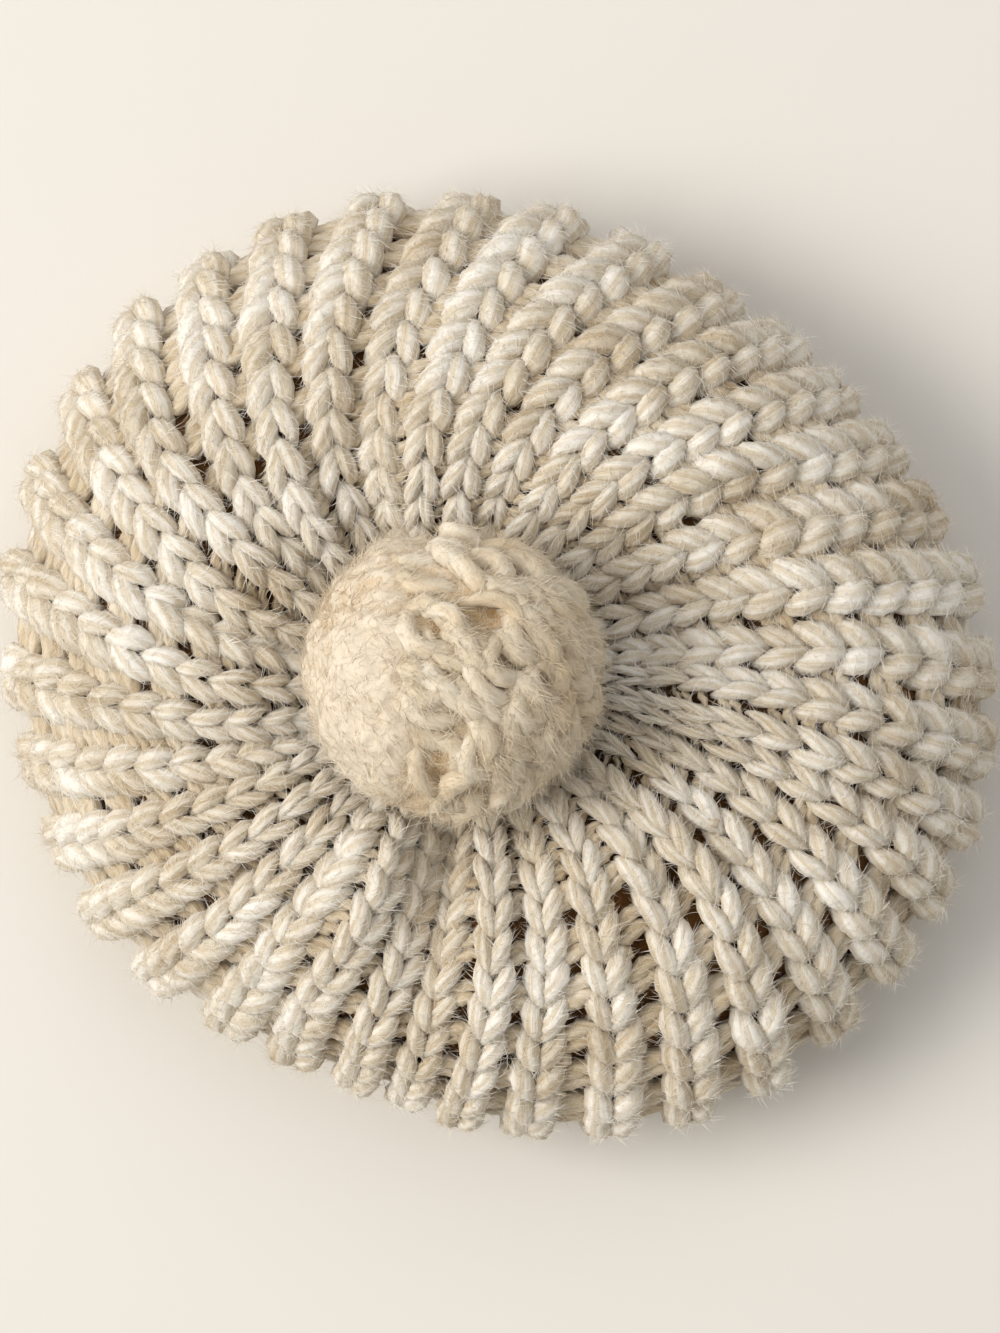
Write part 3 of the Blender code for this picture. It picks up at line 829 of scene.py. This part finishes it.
def bar_paths(channels, edges, chance, sizes):
    """The bars that cross each channel, with a gap beside each short one."""
    bars = np.array(BARS)
    paths = []
    for channel in channels:
        for outer, inner in zip(edges[1:], edges[:-1]):
            share = OPEN[channel][1]
            gap = GAP_WIDTH * (SURE_PART + GROWING_PART * share) * chance.uniform(*GAP_RANGE)
            if inner < FIRST_GAP_COURSE or chance.uniform() > share:
                gap = 0.0
            for number in range(3):
                table = bars[bars[:, 0] == number]
                along = table[:, 1] + chance.normal(0, BAR_NUDGE)
                course = np.clip(outer - along * (outer - inner), 0.0, 3.0)
                angles = np.full(len(table), channel * RIB_PITCH)
                pitch = surface.read(surface.pitch, angles, course)
                half = pitch / 2 - rib_half(angles, course, pitch, sizes)
                half = np.maximum(half, LEAST_HALF_CHANNEL)
                size = np.minimum(sizes.bar_radius, pitch * BAR_SHARE) * table[:, 4]
                size = size * chance.uniform(*BAR_RANGE)
                out = -table[:, 3] * sizes.channel_depth - rim_dip(course) + chance.normal(0, BAR_LIFT)
                within = np.clip(table[:, 2], -1, 1)
                across = within * half + (table[:, 2] - within) * BURY
                if number == 2 and gap > 0:
                    across = np.minimum(across, half - gap - size + GAP_EDGE)
                    out -= np.where(table[:, 2] > 0.5, DIVE, 0)
                paths.append(on_surface(angles, course, across, out, size))
    return paths


# Sizes and colours that a user would change.


def length(name, description, default):
    """A property that is a length in metres."""
    return FloatProperty(name=name, description=description, default=default,
                         unit="LENGTH", subtype="DISTANCE")


class BeretYarn(bpy.types.PropertyGroup):
    """The yarn and the stitches."""

    rib_width: length("Rib width", "How wide a rib is where it isn't pressed", 0.0152)
    yarn_radius: length("Yarn radius", "Half the thickness of the yarn of a full rib", 0.0034)
    leg_spread: length("Leg spread", "How far a V stitch opens on each side", 0.0040)
    bar_radius: length("Bar radius", "Half the thickness of the bars of a channel", 0.0026)
    twist_pitch: length("Twist pitch", "Length of yarn for one whole turn of its plies", 0.044)
    channel_depth: length("Channel depth", "How deep the bars hang between two ribs", 0.0020)
    top_stitches: IntProperty(name="Stitches on the top", default=16,
                              description="V stitches of a rib from the gather to the rim")
    channel_rows: IntProperty(name="Rows in the channels", default=12,
                              description="Rows of bars from the gather to the rim")
    under_stitches: IntProperty(name="Stitches under the rim", default=6,
                                description="V stitches from the rim to the hem")
    band_stitches: IntProperty(name="Stitches on the band", default=3,
                               description="V stitches on the head band")


class BeretStage(bpy.types.PropertyGroup):
    """The floor, light and camera."""

    camera_height: length("Camera height", "How far above the floor the camera is", 1.114)
    frame_height: length("Frame height", "What the picture takes in at the rim's level", 0.352)
    floor_colour: StringProperty(name="Floor colour", default="#E2DDD4",
                                 description="sRGB hex colour of the floor")


def top_edges(count):
    """Courses between the stitches of the top."""
    return [stitch_course(k, count) for k in range(count + 1)]


def even_edges(first, last, count):
    """Courses between stitches that are evenly spaced."""
    return list(np.linspace(first, last, count + 1))


# The top's legs are seen close up. All other yarn has fewer rings, points and plies.
FINE_YARN = {"Rings": 9, "Points Round": 10, "Plies": 5, "Ply Depth": 0.04, "Unevenness": 0.0014, "Seed": 3}
PLAIN_YARN = dict(FINE_YARN, Rings=6, Plies=4)
PLAIN_YARN["Points Round"] = 7
BAND_YARN = dict(PLAIN_YARN)
BAND_YARN["Points Round"] = 8

# The channels have no bars in the rows next to the gather, where the ribs meet.
CLOSED_ROWS = 3
BAND_TOP_COURSE = 2.12


def knit(name, paths, yarn, wool, node):
    """Makes a piece of knitting from its paths."""
    sizes = bpy.context.scene.beret_yarn
    inputs = dict(yarn)
    inputs["Twist Pitch"] = sizes.twist_pitch
    inputs["Yarn Radius"] = sizes.yarn_radius
    settle(yarn_object(name, paths, inputs, materials()[wool]), node)


class BERET_OT_top_ribs(bpy.types.Operator):
    """Knit the ribs of the top, from the gather to the rim"""

    bl_idname = "beret.top_ribs"
    bl_label = "Top ribs"

    def execute(self, context):
        sizes = context.scene.beret_yarn
        quarter = RIB_COUNT // 4
        left = range(quarter, 3 * quarter)
        right = list(range(3 * quarter, RIB_COUNT)) + list(range(quarter))
        for name, ribs in (("left_ribs", left), ("right_ribs", right)):
            chance = np.random.default_rng(len(name))
            paths = leg_paths(ribs, top_edges(sizes.top_stitches), chance, sizes)
            knit(name, paths, FINE_YARN, "ecru_chunky_wool", "crown")
        return {"FINISHED"}


class BERET_OT_top_channels(bpy.types.Operator):
    """Knit the bars of the channels between the ribs of the top"""

    bl_idname = "beret.top_channels"
    bl_label = "Top channels"

    def execute(self, context):
        sizes = context.scene.beret_yarn
        chance = np.random.default_rng(21)
        edges = top_edges(sizes.channel_rows)[CLOSED_ROWS:]
        paths = bar_paths(range(RIB_COUNT), edges, chance, sizes)
        # The bars are painted a darker tan: painted shade between the ribs.
        knit("channel_bars", paths, PLAIN_YARN, "ecru_wool_painted_channel_shade", "crown")
        return {"FINISHED"}


class BERET_OT_underside(bpy.types.Operator):
    """Knit the ribs and channels under the rim, down to the hem"""

    bl_idname = "beret.underside"
    bl_label = "Underside"

    def execute(self, context):
        sizes = context.scene.beret_yarn
        chance = np.random.default_rng(31)
        edges = even_edges(1.0, 2.0, sizes.under_stitches)
        paths = leg_paths(range(RIB_COUNT), edges, chance, sizes)
        paths += bar_paths(range(RIB_COUNT), edges, chance, sizes)
        knit("underside_ribs", paths, PLAIN_YARN, "ecru_chunky_wool", "crown")
        return {"FINISHED"}


class BERET_OT_head_band(bpy.types.Operator):
    """Knit the ribbing of the head band"""

    bl_idname = "beret.head_band"
    bl_label = "Head band"

    def execute(self, context):
        sizes = context.scene.beret_yarn
        chance = np.random.default_rng(41)
        edges = even_edges(BAND_TOP_COURSE, 3.0, sizes.band_stitches)
        paths = leg_paths(range(RIB_COUNT), edges, chance, sizes)
        knit("band_ribs", paths, BAND_YARN, "ecru_chunky_wool", "head_band")
        return {"FINISHED"}


class BERET_OT_inner_side(bpy.types.Operator):
    """Make the thin closed wall behind the yarn: painted brown shade in the gaps, painted tan shade and
    ribbed inside
    """

    bl_idname = "beret.inner_side"
    bl_label = "Inner side"

    COLUMNS = 4
    TOP_ROWS = 30
    UNDER_ROWS = 12
    OUTER_DEPTH = 0.0040
    INNER_DEPTH = 0.0066
    REVERSE_RIB = 0.0008
    OUTER_LEAST_HEIGHT = 0.0012
    INNER_LEAST_HEIGHT = 0.0026

    def execute(self, context):
        courses = np.append(np.linspace(0, 1, self.TOP_ROWS), np.linspace(1, 2, self.UNDER_ROWS)[1:])
        columns = RIB_COUNT * self.COLUMNS
        angles, courses = np.meshgrid(np.arange(columns) * 360 / columns, courses)
        rib = self.REVERSE_RIB * np.cos(np.radians(angles * RIB_COUNT))
        still = np.zeros_like(angles)
        outer = surface.place(angles, courses, still, -self.OUTER_DEPTH - rim_dip(courses))
        inner = surface.place(angles, courses, still, -self.INNER_DEPTH - rim_dip(courses) - rib)
        outer[..., 2] = np.maximum(outer[..., 2], self.OUTER_LEAST_HEIGHT)
        inner[..., 2] = np.maximum(inner[..., 2], self.INNER_LEAST_HEIGHT)
        rows = len(courses)
        shell = rows * columns
        faces = []
        for i in range(rows - 1):
            for j in range(columns):
                k = (j + 1) % columns
                here, below = i * columns, (i + 1) * columns
                a, b, c, d = here + j, below + j, below + k, here + k
                faces.append((a, b, c, d))
                faces.append((d + shell, c + shell, b + shell, a + shell))
        for i, order in ((0, 1), (rows - 1, -1)):
            for j in range(columns):
                k = (j + 1) % columns
                a, b = i * columns + j, i * columns + k
                faces.append((a, b, b + shell, a + shell)[::order])
        verts = np.concatenate([outer.reshape(-1, 3), inner.reshape(-1, 3)])
        mesh = bpy.data.meshes.new("inner_side")
        mesh.from_pydata([tuple(v) for v in verts], [], faces)
        mesh.shade_smooth()
        mesh.attributes.new("yarn", "FLOAT_VECTOR", "POINT").data.foreach_set("vector", verts.ravel())
        # Painted shade: the wall's outer faces are painted brown for the gaps, and its inner faces a darker
        # tan.
        mesh.materials.append(materials()["wool_painted_gap_shade"])
        mesh.materials.append(materials()["ecru_wool_painted_channel_shade"])
        for face in mesh.polygons:
            face.material_index = int(face.vertices[0] >= shell)
        piece = link_new("inner_side", mesh)
        settle(piece, "crown")
        return {"FINISHED"}


# The pompom's loops sweep round it about this line, as if it had been stroked. Towards -X it is
# felted into a smooth fleece.
SWEEP = np.array([0.8, 1.0, -0.6])
FELT_EDGE = -0.10
FELT_BLEND = 0.35
FLEECE_DEPTH = 0.0044
FELTED_DEPTH = 0.0006
# The fluff stands out round the solid ball, most of all to the left and right.
FULLER = np.array([1.055, 1.03, 1.0])
# The fleece's swells, curls and grain: waves across the ball's radius, and height in metres.
SWELLS = (3.5, 0.0012)
CURLS = (11, 0.0009)
GRAIN = (24, 0.0004)
FELTED_CURLS = 0.0004
# Most loops of yarn start towards this side, where the pompom isn't felted.
LOOSE_SIDE = np.array([0.75, -0.1, 0.5])
ENDS_DEPTH = 0.0045
# Ranges of a loop: half its length and its bend to a side as shares of the ball's radius, and its
# thickness and depth in metres. On the felted side it lies deeper.
LOOP_DISORDER = 0.3
LOOP_REACH = (0.20, 0.36)
LOOP_BEND = (-0.34, 0.34)
LOOP_RADIUS = (0.0023, 0.0036)
LOOP_DEPTH = (-0.0006, 0.0012)
SUNK_SHARE = 0.80
FELTED_SINK = 0.0016
LOOP_YARN = {"Rings": 9, "Points Round": 8, "Plies": 3, "Ply Depth": 0.08, "Unevenness": 0.0022,
             "Twist Pitch": 0.06, "Yarn Radius": 0.0026, "Seed": 8}


def along_sweep(start, disorder, chance):
    """A direction along the pompom's skin at a place on it."""
    run = np.cross(SWEEP, start) + chance.normal(0, disorder, 3)
    run -= start * run.dot(start)
    return run / np.linalg.norm(run)


def rough(directions, scale):
    """Noise from -1 to 1 at some directions."""
    return np.array([noise.noise(Vector(d) * scale) for d in directions])


class BERET_OT_pompom(bpy.types.Operator):
    """Make the pompom: a felted fleece, with loops of yarn swept over it"""

    bl_idname = "beret.pompom"
    bl_label = "Pompom"

    LOOPS = 170

    def execute(self, context):
        chance = np.random.default_rng(51)
        middle = np.array((POMPOM_LOW + POMPOM_HIGH) / 2)
        half = np.array((POMPOM_HIGH - POMPOM_LOW) / 2) * FULLER
        verts, faces = ball(190, 95)
        felted = np.clip((FELT_EDGE - verts[:, 0]) / FELT_BLEND, 0, 1)
        swells, curls, grain = (rough(verts, scale) for scale, _ in (SWELLS, CURLS, GRAIN))
        height = swells * SWELLS[1] + curls * (CURLS[1] + FELTED_CURLS * felted) + grain * GRAIN[1]
        height -= FLEECE_DEPTH + (FELTED_DEPTH - FLEECE_DEPTH) * felted
        points = middle + verts * (half + height[:, None])
        # Towards -X, where it is felted, the fleece is paler cream. Its hollows, low in the curls and
        # swells, are painted ochre: painted shade.
        shade = 0.25 + 0.55 * felted + 0.35 * curls + 0.2 * swells
        fleece = bpy.data.meshes.new("pompom_fleece")
        fleece.from_pydata([tuple(p) for p in points], [], faces)
        fleece.shade_smooth()
        lay = np.cross(SWEEP, verts)
        for name, vectors in (("yarn", points), ("lay", lay)):
            attribute = fleece.attributes.new(name, "FLOAT_VECTOR", "POINT")
            attribute.data.foreach_set("vector", vectors.ravel())
        fleece.attributes.new("shade", "FLOAT", "POINT").data.foreach_set("value", shade)
        fleece.materials.append(materials()["ecru_pompom_fleece"])
        piece = link_new("pompom_fleece", fleece)
        settle(piece, "pompom")
        paths = [strand(chance, middle, half) for _ in range(self.LOOPS)]
        piece = yarn_object("pompom_strands", paths, LOOP_YARN, materials()["ecru_pompom_yarn"])
        settle(piece, "pompom")
        return {"FINISHED"}


def ball(segments, rings):
    """Unit ball points and faces, closed at its poles."""
    verts = [(0, 0, 1)]
    for i in range(1, rings):
        down = math.pi * i / rings
        for j in range(segments):
            turn = math.tau * j / segments
            away = math.sin(down)
            verts.append((away * math.cos(turn), away * math.sin(turn), math.cos(down)))
    verts.append((0, 0, -1))
    last = len(verts) - 1
    faces = []
    for j in range(segments):
        k = (j + 1) % segments
        faces.append((0, 1 + j, 1 + k))
        for i in range(rings - 2):
            a = 1 + i * segments
            faces.append((a + j, a + segments + j, a + segments + k, a + k))
        low = 1 + (rings - 2) * segments
        faces.append((low + k, low + j, last))
    return np.array(verts, dtype=float), faces


def strand(chance, middle, half):
    """A loop of yarn on the pompom: it comes out, lies along the sweep and goes back in."""
    start = chance.normal(0, 1, 3) + LOOSE_SIDE
    start /= np.linalg.norm(start)
    run = along_sweep(start, LOOP_DISORDER, chance)
    side = np.cross(start, run)
    reach, curl = chance.uniform(*LOOP_REACH), chance.uniform(*LOOP_BEND)
    radius = chance.uniform(*LOOP_RADIUS)
    sunk = radius * SUNK_SHARE + chance.uniform(*LOOP_DEPTH) + FELTED_SINK * max(0.0, -start[0])
    points = []
    for s in np.linspace(0, 1, 7):
        hump = math.sin(s * math.pi)
        direction = start + run * (2 * s - 1) * reach + side * curl * hump
        direction /= np.linalg.norm(direction)
        lift = -sunk - ENDS_DEPTH * (1 - hump ** 0.5)
        thick = radius * (0.4 + 0.6 * hump ** 0.6)
        points.append(np.append(middle + direction * (half + lift), thick))
    return np.array(points)


def changed(inputs, **changes):
    """A copy of some tree inputs with some changed, where a space in a name is written _."""
    return dict(inputs, **{key.replace("_", " "): value for key, value in changes.items()})


# Short nap and long loose hairs. Wool fibres are 0.03 mm thick and too fine to show, so each hair
# here is a wisp of fibres 0.1 to 0.3 mm thick. Density is in hairs a square metre, leans and the
# spread are in radians, and Thickness Share is half a hair's thickness as a share of its length.
NAP = {"Density": 760000.0, "Shortest": 0.0020, "Longest": 0.0058, "Thickness Share": 0.020,
       "Least Lean": 0.85, "Most Lean": 1.50, "Spread": 1.3, "Straight": True, "Seed": 1,
       "Middle": (-0.005, 0.0, 0.036), "Flatness": 4.7, "Least Outward": 0.40}
LOOSE = changed(NAP, Density=16000.0, Shortest=0.005, Longest=0.011, Thickness_Share=0.009,
                Straight=False, Spread=math.pi, Seed=4)
FLEECE_NAP = changed(NAP, Density=560000.0, Longest=0.0070, Seed=3, Spread=1.4, Flatness=1.0,
                     Middle=(POMPOM_LOW + POMPOM_HIGH) / 2, Least_Outward=-1.0)
LOOP_NAP = changed(FLEECE_NAP, Density=620000.0, Longest=0.0064, Least_Outward=0.2)
WISPS = changed(FLEECE_NAP, Density=90000.0, Shortest=0.006, Longest=0.013, Thickness_Share=0.010,
                Straight=False, Spread=math.pi, Seed=6)
CHANNEL_NAP = changed(NAP, Density=330000.0, Longest=0.0042, Seed=7)
UNDER_NAP = changed(NAP, Density=110000.0, Longest=0.0050, Seed=8)
# The yarn's nap and hairs are painted paler: a painted bloom of light through loose fibres.
FUZZ = [
    # source,          kind,    node,     slot,          wool,                inputs
    ("left_ribs",      "nap",   "crown",  "undyed_wool", "ecru_loose_fibres_painted_bloom", NAP),
    ("right_ribs",     "nap",   "crown",  "undyed_wool", "ecru_loose_fibres_painted_bloom", changed(NAP, Seed=2)),
    ("channel_bars",   "nap",   "crown",  "undyed_wool", "ecru_loose_fibres_painted_bloom", CHANNEL_NAP),
    ("underside_ribs", "nap",   "crown",  "undyed_wool", "ecru_loose_fibres_painted_bloom", UNDER_NAP),
    ("left_ribs",      "hairs", "crown",  "undyed_wool", "ecru_loose_fibres_painted_bloom", LOOSE),
    ("right_ribs",     "hairs", "crown",  "undyed_wool", "ecru_loose_fibres_painted_bloom", changed(LOOSE, Seed=5)),
    ("pompom_fleece",  "nap",   "pompom", "pompom_wool", "ecru_pompom_yarn",  FLEECE_NAP),
    ("pompom_strands", "nap",   "pompom", "pompom_wool", "ecru_pompom_yarn",  LOOP_NAP),
    ("pompom_fleece",  "wisps", "pompom", "pompom_wool", "ecru_pompom_yarn",  WISPS),
]


class BERET_OT_hairs(bpy.types.Operator):
    """Let fine loose hairs stand out of the wool"""

    bl_idname = "beret.hairs"
    bl_label = "Loose hairs"

    def execute(self, context):
        for source, kind, node, slot, wool, inputs in FUZZ:
            copy = link_new(source + "_under", bpy.data.objects[source].data.copy())
            piece = with_nodes(copy, hair_tree(), source + "_" + kind, inputs, materials()[wool])
            settle(piece, node)
        return {"FINISHED"}


FLOOR_HALF = 3.0
FLOOR_LEVEL = -0.0002
LOOK_AT = Vector((0, 0, 0.03))
ROOM_COLOUR = "#FCFCFC"
ROOM_STRENGTH = 0.43
LIGHTS = [
    # name,          place,               watts, width, colour
    ("window_light", (-1.95, 0.02, 1.9),  64,    1.6,   "#FFFCF8"),
    ("fill_light",   (0.1, 0.9, 1.7),     9,     1.6,   "#F6F8FF"),
]


class BERET_OT_stage(bpy.types.Operator):
    """Set the floor, the soft light and the camera"""

    bl_idname = "beret.stage"
    bl_label = "Stage"

    def execute(self, context):
        sizes = context.scene.beret_stage
        floor_mesh = bpy.data.meshes.new("floor")
        w = FLOOR_HALF
        corners = [(x, y, FLOOR_LEVEL) for x, y in ((-w, -w), (w, -w), (w, w), (-w, w))]
        floor_mesh.from_pydata(corners, [], [(0, 1, 2, 3)])
        # Plain matt paper, without a shine or a pattern.
        paper = bpy.data.materials.new("pale_paper")
        paper.use_nodes = True
        shader = paper.node_tree.nodes["Principled BSDF"]
        shader.inputs["Base Color"].default_value = linear(sizes.floor_colour)
        shader.inputs["Roughness"].default_value = 0.9
        floor_mesh.materials.append(paper)
        link_new("floor", floor_mesh)
        for name, place, watts, width, colour in LIGHTS:
            light = bpy.data.lights.new(name, "AREA")
            light.energy = watts
            light.size = width
            light.color = linear(colour)[:3]
            lamp = link_new(name, light)
            lamp.location = place
            lamp.rotation_euler = (Vector(place) - LOOK_AT).to_track_quat("Z", "Y").to_euler()
        world = bpy.data.worlds.new("room")
        world.use_nodes = True
        background = world.node_tree.nodes["Background"]
        background.inputs["Color"].default_value = linear(ROOM_COLOUR)
        background.inputs["Strength"].default_value = ROOM_STRENGTH
        context.scene.world = world
        camera = bpy.data.cameras.new("camera")
        rim_distance = sizes.camera_height - RIM_HEIGHT
        camera.lens = camera.sensor_width * rim_distance / sizes.frame_height
        eye = link_new("camera", camera)
        eye.location = (0, 0, sizes.camera_height)
        context.scene.camera = eye
        context.scene.view_settings.view_transform = "Standard"
        return {"FINISHED"}


OPERATORS = (
    BERET_OT_top_ribs,
    BERET_OT_top_channels,
    BERET_OT_underside,
    BERET_OT_head_band,
    BERET_OT_inner_side,
    BERET_OT_pompom,
    BERET_OT_hairs,
    BERET_OT_stage,
)


class BERET_PT_panel(bpy.types.Panel):
    """Lists the beret's pieces"""

    bl_label = "Ribbed beret"
    bl_idname = "BERET_PT_panel"
    bl_space_type = "VIEW_3D"
    bl_region_type = "UI"
    bl_category = "Beret"

    def draw(self, context):
        for sizes in (context.scene.beret_yarn, context.scene.beret_stage):
            for name in sizes.bl_rna.properties.keys():
                if name not in ("rna_type", "name"):
                    self.layout.prop(sizes, name)
        for operator in OPERATORS:
            self.layout.operator(operator.bl_idname)


CLASSES = (BeretYarn, BeretStage) + OPERATORS + (BERET_PT_panel,)


def register():
    for cls in CLASSES:
        bpy.utils.register_class(cls)
    bpy.types.Scene.beret_yarn = PointerProperty(type=BeretYarn)
    bpy.types.Scene.beret_stage = PointerProperty(type=BeretStage)


def unregister():
    del bpy.types.Scene.beret_yarn
    del bpy.types.Scene.beret_stage
    for cls in reversed(CLASSES):
        bpy.utils.unregister_class(cls)


def main():
    """Builds the beret and its stage."""
    clear_startup()
    register()
    for operator in OPERATORS:
        getattr(bpy.ops.beret, operator.bl_idname.split(".")[1])()


if __name__ == "__main__":
    main()
